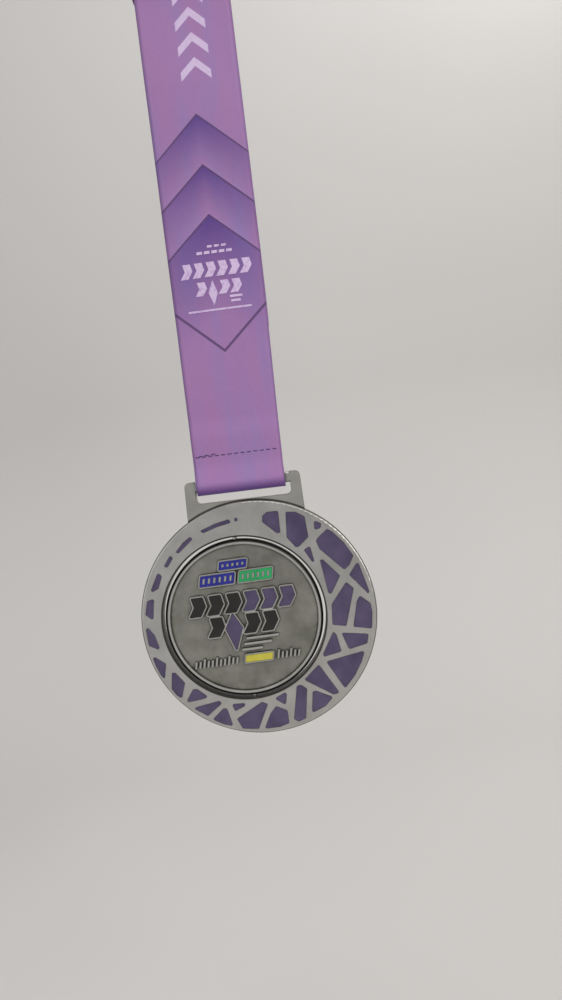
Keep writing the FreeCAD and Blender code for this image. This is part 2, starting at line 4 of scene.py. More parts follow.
import bmesh
import bpy
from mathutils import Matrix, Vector


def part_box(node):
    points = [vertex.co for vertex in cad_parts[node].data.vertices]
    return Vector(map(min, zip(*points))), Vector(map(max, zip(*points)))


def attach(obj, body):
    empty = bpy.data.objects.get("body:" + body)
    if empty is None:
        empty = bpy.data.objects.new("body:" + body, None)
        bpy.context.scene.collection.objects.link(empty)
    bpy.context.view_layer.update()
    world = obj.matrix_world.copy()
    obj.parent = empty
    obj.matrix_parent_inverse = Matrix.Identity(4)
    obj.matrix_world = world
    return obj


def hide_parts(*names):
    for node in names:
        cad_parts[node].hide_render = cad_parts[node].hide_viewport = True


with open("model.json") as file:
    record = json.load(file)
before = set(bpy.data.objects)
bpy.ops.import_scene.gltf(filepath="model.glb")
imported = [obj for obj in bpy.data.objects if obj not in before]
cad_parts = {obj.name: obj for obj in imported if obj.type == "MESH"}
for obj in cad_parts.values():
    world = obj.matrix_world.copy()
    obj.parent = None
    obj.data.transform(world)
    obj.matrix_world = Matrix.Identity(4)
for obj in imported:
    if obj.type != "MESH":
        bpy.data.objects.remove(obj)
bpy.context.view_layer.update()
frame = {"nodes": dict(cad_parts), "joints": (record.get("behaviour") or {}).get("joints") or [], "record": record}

MM = 0.001

# ---------------------------------------------------------------- colours and nodes

MATH, RANGE, MIX = "ShaderNodeMath", "ShaderNodeMapRange", "ShaderNodeMix"
NOISE, WAVE, RAMP = "ShaderNodeTexNoise", "ShaderNodeTexWave", "ShaderNodeValToRGB"
PLUS, MINUS, TIMES, OVER = ({"operation": word} for word in ("ADD", "SUBTRACT", "MULTIPLY", "DIVIDE"))
LEAST, MOST, POWER, SINE = ({"operation": word} for word in ("MINIMUM", "MAXIMUM", "POWER", "SINE"))
UNSIGNED, PART = {"operation": "ABSOLUTE"}, {"operation": "FRACT"}
HELD = {"use_clamp": True}
EASED = {"interpolation_type": "SMOOTHSTEP"}
COLOURS = {"data_type": "RGBA"}


def hex_colour(code):
    """An sRGB hex colour as linear numbers."""
    channels = [int(code[i:i + 2], 16) / 255 for i in (1, 3, 5)]
    return [c / 12.92 if c <= 0.04045 else ((c + 0.055) / 1.055) ** 2.4 for c in channels] + [1.0]


def add(tree, kind, inputs=None, stops=(), **settings):
    """A node with its settings, and a ramp's stops of (position, hex colour). An input is a value, a
    socket to link, or a node to link, which stands for the first of its outputs that is in use."""
    node = tree.nodes.new(kind)
    for key, value in settings.items():
        setattr(node, key, value)
    for key, value in (inputs or {}).items():
        if isinstance(value, bpy.types.Node):
            value = next(socket for socket in value.outputs if socket.enabled)
        if isinstance(value, bpy.types.NodeSocket):
            tree.links.new(value, node.inputs[key])
        else:
            node.inputs[key].default_value = value
    if stops:
        elements = node.color_ramp.elements
        while len(elements) < len(stops):
            elements.new(0.5)
        for element, (position, code) in zip(elements, stops):
            element.position = position
            element.color = hex_colour(code)
    return node


def chain(tree, made, rows):
    """Adds a node to made for each row of (name, kind, settings, inputs in order). Text names a made node."""
    for name, kind, settings, *values in rows:
        inputs = [made[value] if isinstance(value, str) else value for value in values]
        made[name] = add(tree, kind, dict(enumerate(inputs)), **settings)


def new_material(name):
    """A material and its emptied tree."""
    material = bpy.data.materials.new(name)
    material.use_nodes = True
    material.node_tree.nodes.clear()
    return material, material.node_tree


def shade(tree, inputs):
    """The surface with its inputs, joined to the tree's output."""
    shader = add(tree, "ShaderNodeBsdfPrincipled", inputs)
    add(tree, "ShaderNodeOutputMaterial", {"Surface": shader})


# ---------------------------------------------------------------- the frame's places

DISC_GAP = 0.7 * MM

ring_low, ring_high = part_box("ring_casting")
disc_low, disc_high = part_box("disc_casting")
JOINTS = {joint["name"]: joint for joint in frame["joints"]}
BAR = Vector(JOINTS["medal_swing"]["pos_m"])
MEDAL_Y = BAR.y
FOLD_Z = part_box("ribbon")[0].z
MEDAL_HALF = MEDAL_Y - ring_low.y
DISC_HALF = MEDAL_Y - disc_low.y
DISC_RADIUS = (disc_high.x - disc_low.x) / 2
DISC_CENTRE = (disc_low + disc_high) / 2
OPENING_RADIUS = DISC_RADIUS + DISC_GAP
RING_RADIUS = ring_high.x
RING_CENTRE = Vector((0, MEDAL_Y, ring_low.z + RING_RADIUS))

# ---------------------------------------------------------------- camera

CAMERA_PLACE = (0.0163, -0.2009, -0.1528)
CAMERA_TURN = (86.09, 6.91, 1.39)          # pitch, roll and heading in degrees
CAMERA_LENS = 26.0                         # mm
CAMERA_LONG_SIDE = 36.0                    # mm
CAMERA_NEAR = 0.005


def new_object(name, data):
    """An object in the scene that shows the data."""
    thing = bpy.data.objects.new(name, data)
    bpy.context.scene.collection.objects.link(thing)
    return thing


def make_camera():
    """The camera, 0.2 m in front of the medal."""
    data = bpy.data.cameras.new("camera")
    data.lens = CAMERA_LENS
    data.sensor_width = CAMERA_LONG_SIDE
    data.clip_start = CAMERA_NEAR
    camera = new_object("camera", data)
    camera.location = CAMERA_PLACE
    camera.rotation_euler = [math.radians(angle) for angle in CAMERA_TURN]
    bpy.context.scene.camera = camera


# ---------------------------------------------------------------- floor, backdrop and lights

COVE_FLOOR = FOLD_Z - 0.22
COVE_BACK = 0.62
COVE_BEND = 0.3
COVE_REACH = 5.0
COVE_STEPS = 24
PAINT_CLOUD = 0.4                          # size of the paint's unevenness

WORLD_COLOUR, WORLD_STRENGTH = "#E4E4E4", 0.55
LIGHTS = {                                 # name: place, size, power in watts, colour
    "window": ((0.75, -0.55, 0.35), (0.6, 0.8), 6.0, "#FFFBF6"),
    "ceiling": ((-0.1, -0.25, 0.95), (0.9, 0.7), 4.4, "#FFFFFF"),
    "fill": ((-0.8, -0.7, -0.05), (0.8, 0.9), 2.4, "#F6F8FF"),
    "back": ((0.3, 0.5, 0.5), (0.5, 0.4), 1.8, "#FFFFFF"),
}


def make_cove():
    """A pale floor that bends up into a backdrop well behind the medal."""
    bend_y = COVE_BACK - COVE_BEND
    profile = [(-COVE_REACH, COVE_FLOOR), (bend_y, COVE_FLOOR)]
    for step in range(1, COVE_STEPS + 1):
        angle = math.pi / 2 * step / COVE_STEPS
        profile.append((bend_y + COVE_BEND * math.sin(angle), COVE_FLOOR + COVE_BEND * (1 - math.cos(angle))))
    profile.append((COVE_BACK, COVE_FLOOR + COVE_REACH))
    mesh = bpy.data.meshes.new("cove")
    points = [(side * COVE_REACH, y, z) for y, z in profile for side in (-1, 1)]
    faces = [(2 * i, 2 * i + 1, 2 * i + 3, 2 * i + 2) for i in range(len(profile) - 1)]
    mesh.from_pydata(points, [], faces)
    mesh.shade_smooth()
    cove = new_object("cove", mesh)
    mesh.materials.append(matt_painted_cove())


def matt_painted_cove():
    """Matt wall paint: an almost even pale grey."""
    material, tree = new_material("matt_painted_cove")
    place = add(tree, "ShaderNodeTexCoord").outputs["Object"]
    cloud = add(tree, NOISE, {"Vector": place, "Scale": 1 / PAINT_CLOUD, "Detail": 1.0})
    tone = add(tree, RAMP, {"Fac": cloud}, [(0.3, "#C6C4C2"), (0.7, "#CCCAC8")])
    shade(tree, {"Base Color": tone, "Roughness": 0.9})
    return material


def make_lights():
    """Four soft lamps that aim at the slot's bar, and an even pale surrounding."""
    middle = Vector((0, MEDAL_Y, BAR.z))
    for name, (place, size, power, colour) in LIGHTS.items():
        data = bpy.data.lights.new(name, "AREA")
        data.shape = "RECTANGLE"
        data.size, data.size_y = size
        data.energy = power
        data.color = hex_colour(colour)[:3]
        light = new_object(name, data)
        light.location = place
        light.rotation_euler = (middle - Vector(place)).to_track_quat("-Z", "Y").to_euler()
    world = bpy.data.worlds.new("studio")
    world.use_nodes = True
    background = world.node_tree.nodes["Background"]
    background.inputs["Color"].default_value = hex_colour(WORLD_COLOUR)
    background.inputs["Strength"].default_value = WORLD_STRENGTH
    bpy.context.scene.world = world
    bpy.context.scene.view_settings.view_transform = "Standard"


# ---------------------------------------------------------------- ribbon

RIBBON_WIDTH = 25.0 * MM
RIBBON_THICKNESS = 0.8 * MM
LAYER = 1.0 * MM                           # from one layer's middle to the next
HOOK_RADIUS = 3.0 * MM
FOLD_RADIUS = 2.1 * MM                     # of the middle line round the bar
SEAM_HEIGHT = 10.5 * MM                    # above the fold
END_BELOW_SEAM = 2.75 * MM                 # the back strand's cut end
FOLD_END_ABOVE = 4.0 * MM                  # the end sewn in between the strands
PART_ABOVE, PART_RUN, PART_BEND = 5.2 * MM, 4.0 * MM, 8.0 * MM     # above the seam the strands close
WRAP_BELOW, WRAP_RUN, WRAP_BEND = 4.2 * MM, 2.4 * MM, 1.2 * MM     # below it the back spreads round the bar
FRONT_WRAP_ABOVE, FRONT_WRAP_BEND = 1.5 * MM, 9.0 * MM             # and the front does so more gently
FRONT_WRAP_RUN, FRONT_WRAP_END_BEND = 3.4 * MM, 2.5 * MM
HANK_LOW = -115.0 * MM
HANK_TURN = 1.95 * MM                      # radius of the inner lower bend
HANK_START, HANK_END, HANK_BEND = 5.0 * MM, 13.0 * MM, 5.0 * MM    # above it the hank's layers close up
HANK_INNER_DROP = 0.18 * MM                # the inner layer closes up this much lower
BACK_START, BACK_END, BACK_BEND = -5.0 * MM, -15.0 * MM, 4.0 * MM  # below the hook the back layers close up
BACK_OUTER_DROP = 0.27 * MM                # the outer layer closes up this much lower
TIE_TOP = -25.0 * MM
EYE_START, EYE_END, EYE_BEND = 1.0 * MM, 3.5 * MM, 2.0 * MM        # above the tie the upper bend opens
EYE_TOP, EYE_WIDTH = 6.45 * MM, 1.4 * MM
RIBBON_STEP = 0.9 * MM
RIBBON_ACROSS = 20
BEND_STEP = math.radians(9)
SHORTEST = 1e-7


def ribbon_route():
    """The ribbon's middle line, as in the CAD: corners of (y from the medal's plane, z, bend radius)."""
    half, near, far = RIBBON_THICKNESS / 2, LAYER / 2, 3 * LAYER / 2
    fold_low = BAR.z - FOLD_RADIUS
    seam = fold_low - half + SEAM_HEIGHT
    seam_top, seam_foot = seam + PART_ABOVE, seam - WRAP_BELOW
    turn = HOOK_RADIUS + half
    back = near + 2 * turn
    turn_out = HANK_TURN + LAYER
    hank_out, hank_in = far + 2 * turn_out, far + LAYER + 2 * HANK_TURN
    front_up, back_up = far + 2 * LAYER, far + 3 * LAYER
    eye, eye_turn = back_up + EYE_WIDTH, (LAYER + EYE_WIDTH) / 2
    return [
        (LAYER, seam - END_BELOW_SEAM, 0),
        (LAYER, seam_top, PART_BEND), (near, seam_top + PART_RUN, PART_BEND),
        (near, half, turn), (back, half, turn),
        (back, BACK_START, BACK_BEND), (far, BACK_END, BACK_BEND),
        (far, HANK_LOW - turn_out, turn_out), (hank_out, HANK_LOW - turn_out, turn_out),
        (hank_out, HANK_LOW + HANK_START, HANK_BEND), (back_up, HANK_LOW + HANK_END, HANK_BEND),
        (back_up, TIE_TOP + EYE_START, EYE_BEND), (eye, TIE_TOP + EYE_END, EYE_BEND),
        (eye, TIE_TOP + EYE_TOP, eye_turn), (front_up, TIE_TOP + EYE_TOP, eye_turn),
        (front_up, HANK_LOW + HANK_END - HANK_INNER_DROP, HANK_BEND),
        (hank_in, HANK_LOW + HANK_START - HANK_INNER_DROP, HANK_BEND),
        (hank_in, HANK_LOW - HANK_TURN, HANK_TURN), (far + LAYER, HANK_LOW - HANK_TURN, HANK_TURN),
        (far + LAYER, BACK_END - BACK_OUTER_DROP, BACK_BEND),
        (back + LAYER, BACK_START - BACK_OUTER_DROP, BACK_BEND),
        (back + LAYER, half + LAYER, turn + LAYER), (-near, half + LAYER, turn + LAYER),
        (-near, seam_top + PART_RUN, PART_BEND), (-LAYER, seam_top, PART_BEND),
        (-LAYER, seam_foot + FRONT_WRAP_ABOVE, FRONT_WRAP_BEND),
        (-FOLD_RADIUS, seam_foot - FRONT_WRAP_RUN, FRONT_WRAP_END_BEND),
        (-FOLD_RADIUS, fold_low, FOLD_RADIUS), (FOLD_RADIUS, fold_low, FOLD_RADIUS),
        (FOLD_RADIUS, seam_foot - WRAP_RUN, WRAP_BEND), (0, seam_foot, WRAP_BEND),
        (0, seam + FOLD_END_ABOVE, 0),
    ]


def rounded_path(route, step):
    """Points along the route, its corners rounded, about a step apart."""
    corners = [Vector((0, y + MEDAL_Y, z)) for y, z, bend in route]
    pieces = []
    place = corners[0]
    for index in range(1, len(corners) - 1):
        into = (corners[index] - corners[index - 1]).normalized()
        out = (corners[index + 1] - corners[index]).normalized()
        angle = into.angle(out)
        bend = route[index][2]
        reach = bend * math.tan(angle / 2)
        start, end = corners[index] - into * reach, corners[index] + out * reach
        pieces.append((place, start, None, 0))
        turn = 1 if into.cross(out).x > 0 else -1
        centre = start + Vector((0, -into.z, into.y)) * bend * turn
        pieces.append((start, end, centre, angle * turn))
        place = end
    pieces.append((place, corners[-1], None, 0))
    points = [corners[0]]
    for start, end, centre, angle in pieces:
        length = (end - start).length if centre is None else abs(angle) * (start - centre).length
        count = max(1, round(length / step))
        if length < SHORTEST:
            continue
        if centre is not None:
            count = max(count, math.ceil(abs(angle) / BEND_STEP))
        for number in range(1, count + 1):
            share = number / count
            if centre is None:
                points.append(start.lerp(end, share))
            else:
                spoke = start - centre
                a = angle * share
                points.append(centre + Vector((0, spoke.y * math.cos(a) - spoke.z * math.sin(a),
                                               spoke.y * math.sin(a) + spoke.z * math.cos(a))))
    return points


def eased(share):
    """A share held between 0 and 1 that starts and ends gently."""
    share = min(max(share, 0), 1)
    return share * share * (3 - 2 * share)


BOW_START, BOW_FADE = 12 * MM, 30 * MM     # above the bar the layers start to bow
BOW_TOP, BOW_TOP_FADE = -34 * MM, 20 * MM  # and they lie straight again towards the hook
LONG_WAVE, LONG_WAVE_LENGTH, LONG_WAVE_START = 0.22 * MM, 17 * MM, 1.3
SHORT_WAVE, SHORT_WAVE_LENGTH, SHORT_WAVE_ACROSS = 0.13 * MM, 7.3 * MM, 9 * MM
CUP = 0.25 * MM                            # how far the strip's edges curl back


def hang_shift(x, z):
    """How far the hanging layers bow out of their plane together, so that none meets the next."""
    fade = eased((z - (BAR.z + BOW_START)) / BOW_FADE)
    top = min(max((BOW_TOP - z) / BOW_TOP_FADE, 0), 1)
    wave = LONG_WAVE * math.sin(z / LONG_WAVE_LENGTH + LONG_WAVE_START)
    wave += SHORT_WAVE * math.sin(z / SHORT_WAVE_LENGTH + x / SHORT_WAVE_ACROSS)
    return (wave + CUP * (x / (RIBBON_WIDTH / 2)) ** 2) * fade * top


WAIST = 0.035                              # how much the ribbon bunches where it enters the slot
WAIST_SHIFT = -0.4 * MM
WAIST_REACH = 70 * MM


def waist(x, z):
    """Where a point across the ribbon lies once the layers bunch towards the slot."""
    share = eased(1 - (z - FOLD_Z) / WAIST_REACH)
    return x * (1 - WAIST * share) + WAIST_SHIFT * share


CUT_END_HEIGHT = 8 * MM                    # the back strand's cut end above the fold


def make_ribbon():
    """The strip as a surface with thickness, and its length. Its UV is (across, height above the fold)."""
    points = rounded_path(ribbon_route(), RIBBON_STEP)
    lengths = [0.0]
    for one, two in zip(points, points[1:]):
        lengths.append(lengths[-1] + (two - one).length)
    fold = min(range(len(points)), key=lambda i: points[i].z)
    rows = RIBBON_ACROSS + 1
    across = [RIBBON_WIDTH * (column / RIBBON_ACROSS - 0.5) for column in range(rows)]
    verts = [(waist(x, point.z), point.y + hang_shift(x, point.z), point.z)
             for point in points for x in across]
    faces = []
    for i in range(len(points) - 1):
        for corner in range(i * rows, i * rows + RIBBON_ACROSS):
            faces.append((corner, corner + rows, corner + rows + 1, corner + 1))
    mesh = bpy.data.meshes.new("ribbon_strip")
    mesh.from_pydata(verts, [], faces)
    layer = mesh.uv_layers.new(name="cloth")
    for loop in mesh.loops:
        i, j = divmod(loop.vertex_index, rows)
        height = abs(lengths[fold] - lengths[i])
        if lengths[i] < lengths[fold] / 2:
            height = lengths[i] + CUT_END_HEIGHT
        layer.data[loop.index].uv = (across[j], height)
    mesh.shade_smooth()
    ribbon = new_object("ribbon_strip", mesh)
    solidify = ribbon.modifiers.new("cloth_thickness", "SOLIDIFY")
    solidify.thickness = RIBBON_THICKNESS
    solidify.offset = 0
    solidify.use_even_offset = True
    solidify.material_offset = 1
    solidify.material_offset_rim = 2
    return ribbon, lengths[-1]


# ---------------------------------------------------------------- ribbon cloth and its print

WEFT_RIB, WARP_RIB = 0.6 * MM, 0.45 * MM
DYE_STREAK, DYE_STRETCH = 7 * MM, 0.16     # the dye's streaks: their width, and it as a share of their length
SATIN_SHEEN = {"Sheen Weight": 0.25, "Sheen Roughness": 0.4}
PRINT_EDGE = 0.15 * MM                     # how soft the print's edges are
CHEVRON_TOP = 101.1 * MM                   # the first chevron's point, above the fold
CHEVRON_STEP = 12.9 * MM
CHEVRON_SLOPE = 0.88
CHEVRON_COUNT = 3
LAST_BAND = CHEVRON_COUNT - 1
HAIR = 0.0001                              # of a band: keeps a place on the right side of a whole number
FADE_POWER = 1.05
LAST_FADE = 0.5                            # the last chevron fades out over two bands
SIDE_FADE = 0.55                           # how much paler the dye is at the strip's edges
LINE_WIDTH = 0.75 * MM
LINE_STRENGTH = 0.9
LINE_CORE, LINE_BLUR = LINE_WIDTH * 0.45, LINE_WIDTH * 0.75        # half widths of the lower V's line
EDGE_START, EDGE_END = 0.02, LINE_WIDTH / CHEVRON_STEP * 1.3       # of a band: the line along a chevron's top
LINES_STOP, LINES_GONE = 2.2, 2.3          # in bands: the last chevron's foot has no line
CLOSING_POINT = 39.1 * MM                  # the lower V's point
CLOSING_SLOPE = 0.90
# painted shade where the strip rolls round the bar: its strength, and the heights above the fold where it is full
# and where it is gone
PAINTED_FOLD_SHADE, PAINTED_FOLD_SHADE_LOW, PAINTED_FOLD_SHADE_HIGH = 0.85, 1.0 * MM, 4.2 * MM
COLUMN_FOOT = 112.9 * MM                   # where the pale arrows that climb the ribbon start, above the fold
COLUMN_MIDDLE = 1.3 * MM
COLUMN_HALF = 3.9 * MM
COLUMN_STEP = 6.4 * MM
COLUMN_STROKE = 2.3 * MM
COLUMN_SLOPE = 0.9
COLUMN_FOOT_EDGE = 0.2 * MM
INK_WEAR = 0.7 * MM                        # size of the worn spots
WEAR_LOW, WEAR_HIGH = 0.3, 0.5             # of the noise
WORN_INK, WHOLE_INK = 0.66, 0.95           # how well the ink covers there
THREAD_SHADE = 0.07                        # how much the weave's own shadow shows
SELVEDGE, SELVEDGE_LOW, SELVEDGE_HIGH = 0.35, 11.7 * MM, 12.3 * MM

CHEVRON_ROWS = [
    ("away", MATH, UNSIGNED, "across"),
    ("slope", MATH, TIMES, "away", CHEVRON_SLOPE),
    ("rise", MATH, PLUS, "along", "slope"),
    ("below", MATH, MINUS, CHEVRON_TOP, "rise"),
    ("band", MATH, OVER, "below", CHEVRON_STEP),
    ("band_from_0", MATH, MOST, "band", 0.0),
    ("band_within", MATH, LEAST, "band_from_0", CHEVRON_COUNT - HAIR),
    ("band_share", MATH, PART, "band_within"),
    ("inside", RANGE, EASED, "below", 0.0, PRINT_EDGE),
    ("in_last", RANGE, EASED, "band", LAST_BAND - HAIR, LAST_BAND),
    ("in_others", RANGE, EASED, "band", LAST_BAND - HAIR, LAST_BAND, 1.0, 0.0),
    ("past_last", MATH, MINUS, "band", LAST_BAND),
    ("last_depth", MATH, TIMES, "past_last", LAST_FADE),
    ("depth_in_last", MATH, TIMES, "last_depth", "in_last"),
    ("depth_in_others", MATH, TIMES, "band_share", "in_others"),
    ("depth", MATH, PLUS, "depth_in_others", "depth_in_last"),
    ("dye_left", MATH, MINUS | HELD, 1.0, "depth"),
    ("fade", MATH, POWER, "dye_left", FADE_POWER),
    ("side", MATH, TIMES, "away", SIDE_FADE / (RIBBON_WIDTH / 2)),
    ("middle", MATH, MINUS, 1.0, "side"),
    ("faded", MATH, TIMES, "fade", "middle"),
    ("chevron", MATH, TIMES | HELD, "faded", "inside"),
]
LINE_ROWS = [
    ("under_edge", RANGE, EASED, "band_share", EDGE_START, EDGE_END, 1.0, 0.0),
    ("edge_inside", MATH, TIMES, "inside", "under_edge"),
    ("before_end", RANGE, EASED, "band", LINES_STOP, LINES_GONE, 1.0, 0.0),
    ("edge", MATH, TIMES, "edge_inside", "before_end"),
    ("closing_rise", MATH, TIMES, "away", CLOSING_SLOPE),
    ("closing", MATH, MINUS, "along", "closing_rise"),
    ("from_closing", MATH, MINUS, "closing", CLOSING_POINT),
    ("gap", MATH, UNSIGNED, "from_closing"),
    ("lower", RANGE, EASED, "gap", LINE_CORE, LINE_BLUR, 1.0, 0.0),
    ("either", MATH, MOST, "edge", "lower"),
    ("lines", MATH, TIMES, "either", LINE_STRENGTH),
]
ARROW_ROWS = [
    ("from_column", MATH, MINUS, "across", COLUMN_MIDDLE),
    ("column", MATH, UNSIGNED, "from_column"),
    ("column_rise", MATH, TIMES, "column", COLUMN_SLOPE),
    ("above_foot", MATH, MINUS, "along", COLUMN_FOOT),
    ("climb", MATH, PLUS, "above_foot", "column_rise"),
    ("arrows", MATH, OVER, "climb", COLUMN_STEP),
    ("arrow_share", MATH, PART, "arrows"),
    ("arrow", MATH, TIMES, "arrow_share", COLUMN_STEP),
    ("over_foot", RANGE, EASED, "arrow", 0.0, PRINT_EDGE),
    ("under_top", RANGE, EASED, "arrow", COLUMN_STROKE, COLUMN_STROKE + PRINT_EDGE, 1.0, 0.0),
    ("in_column", RANGE, EASED, "column", COLUMN_HALF, COLUMN_HALF + PRINT_EDGE, 1.0, 0.0),
    ("over_column_foot", RANGE, EASED, "climb", 0.0, COLUMN_FOOT_EDGE),
    ("band_of_arrow", MATH, TIMES, "over_foot", "under_top"),
    ("stroke_across", MATH, TIMES, "band_of_arrow", "in_column"),
    ("stroke", MATH, TIMES, "stroke_across", "over_column_foot"),
    ("worn", RANGE, {}, "wear", WEAR_LOW, WEAR_HIGH, WORN_INK, WHOLE_INK),
    ("arrow_ink", MATH, TIMES, "stroke", "worn"),
]
PRINT_AND_SHADE_LAYERS = [                           # what is laid over the dye, in order: the print, and the painted shade of the weave and of the fold
    ("thread_shade", "#6F4B8C"), ("chevron", "#4E2C86"), ("lines", "#56376A"), ("fold_shade", "#552A86"),
    ("arrow_ink", "#D8C4E6"), ("selvedge", "#5F4178"),
]


def woven_places(tree):
    """The nodes that the ribbon's materials share: its UV, the places across and along, and the ribs."""
    made = {"cloth": add(tree, "ShaderNodeUVMap", uv_map="cloth")}
    split = add(tree, "ShaderNodeSeparateXYZ", {"Vector": made["cloth"]})
    made["across"], made["along"] = split.outputs["X"], split.outputs["Y"]
    chain(tree, made, [
        ("weft_turn", MATH, TIMES, "along", 2 * math.pi / WEFT_RIB),
        ("warp_turn", MATH, TIMES, "across", 2 * math.pi / WARP_RIB),
        ("weft", MATH, SINE, "weft_turn"),
        ("warp", MATH, SINE, "warp_turn"),
        ("weave", MATH, TIMES, "weft", "warp")])
    return made


def printed_ribbon():
    """Woven polyester satin ribbon, dye printed: a soft sheen, fine ribs and slightly uneven violet."""
    material, tree = new_material("woven_polyester_satin_printed")
    made = woven_places(tree)
    streaks = add(tree, "ShaderNodeMapping", {"Vector": made["cloth"], "Scale": (1.0, DYE_STRETCH, 1.0)})
    uneven = add(tree, NOISE, {"Vector": streaks, "Scale": 1 / DYE_STREAK})
    made["wear"] = add(tree, NOISE, {"Vector": made["cloth"], "Scale": 1 / INK_WEAR, "Detail": 4.0,
                                     "Roughness": 0.7})
    chain(tree, made, CHEVRON_ROWS + LINE_ROWS + ARROW_ROWS + [
        ("thread_shade", RANGE, {}, "weave", -1.0, 1.0, 0.0, THREAD_SHADE),
        # painted shade where the strip rolls round the bar
        ("fold_shade", RANGE, EASED, "along", PAINTED_FOLD_SHADE_LOW, PAINTED_FOLD_SHADE_HIGH, PAINTED_FOLD_SHADE, 0.0),
        ("selvedge", RANGE, EASED, "away", SELVEDGE_LOW, SELVEDGE_HIGH, 0.0, SELVEDGE)])
    colour = add(tree, RAMP, {"Fac": uneven}, [(0.3, "#967BB7"), (0.5, "#A278B0"), (0.7, "#A777AD")])
    for name, code in PRINT_AND_SHADE_LAYERS:
        colour = add(tree, MIX, {0: made[name], 6: colour, 7: hex_colour(code)}, **COLOURS)
    ribs = add(tree, "ShaderNodeBump", {"Height": made["weave"], "Distance": 0.07 * MM, "Strength": 0.6})
    shade(tree, {"Base Color": colour, "Roughness": 0.62, "Normal": ribs, **SATIN_SHEEN})
    return material


def plain_ribbon():
    """The unprinted side of the same satin: paler, where the dye only comes through."""
    material, tree = new_material("woven_polyester_satin_plain")
    made = woven_places(tree)
    uneven = add(tree, NOISE, {"Vector": made["cloth"], "Scale": 1 / (5 * MM), "Detail": 3.0})
    tone = add(tree, RAMP, {"Fac": uneven}, [(0.3, "#A98FB8"), (0.7, "#B79EC2")])
    ribs = add(tree, "ShaderNodeBump", {"Height": made["weave"], "Distance": 0.05 * MM, "Strength": 0.5})
    shade(tree, {"Base Color": tone, "Roughness": 0.66, "Normal": ribs, **SATIN_SHEEN})
    return material


def selvedge_cloth():
    """The woven edge of the ribbon, where dye and thread lie closer: darker and matt."""
    material, tree = new_material("woven_polyester_selvedge")
    place = add(tree, "ShaderNodeTexCoord").outputs["Object"]
    uneven = add(tree, NOISE, {"Vector": place, "Scale": 1 / (0.7 * MM)})
    tone = add(tree, RAMP, {"Fac": uneven}, [(0.35, "#5A3F72"), (0.65, "#7A5590")])
    threads = add(tree, NOISE, {"Vector": place, "Scale": 1 / (0.4 * MM)})
    rough = add(tree, "ShaderNodeBump", {"Height": threads, "Distance": 0.08 * MM, "Strength": 0.6})
    shade(tree, {"Base Color": tone, "Roughness": 0.75, "Sheen Weight": 0.2, "Normal": rough})
    return material


# ---------------------------------------------------------------- metal and enamel

PROUD = 0.45 * MM                          # how far below the foremost face the polishing wheel still reaches
SKIN = 0.05 * MM
RING_SHADE_EDGE = 0.25 * MM
EDGE_SHADE_REACH, EDGE_EASE = 0.4 * MM, 0.12 * MM     # reach of the painted shade along an edge, and of its rounding
CORNER_REACH = 1.3 * MM                    # how far from a wall the painted corner shade reaches, which also stands for the antique black
BENT, FLAT, EDGE_SHADE_STRENGTH = 0.8, 0.99, 0.65    # how far the rounded normal turns away, and the strength of the painted edge shade
STAIN = 0.3
BLACK_AND_SHADE_FULL, BLACK_AND_SHADE_NONE = 0.38, 0.86                 # of the open sky a spot sees: at the first it takes full painted shade and antique black, at the second none
POLISHED, HANDLED = 0.3, 0.46              # roughness
SIDEWAYS, BACKWARDS, FRONT_GRAIN = 0.6, 0.9, 0.25    # how far a face looks back, and the grain on the others
METAL_NOISES = {                           # name: size of its grains in mm, roughness
    "clouds": (7, 0.6), "stains": (1.4, 0.5), "handling": (0.9, 0.5), "cast_grain": (0.35, 0.5),
}


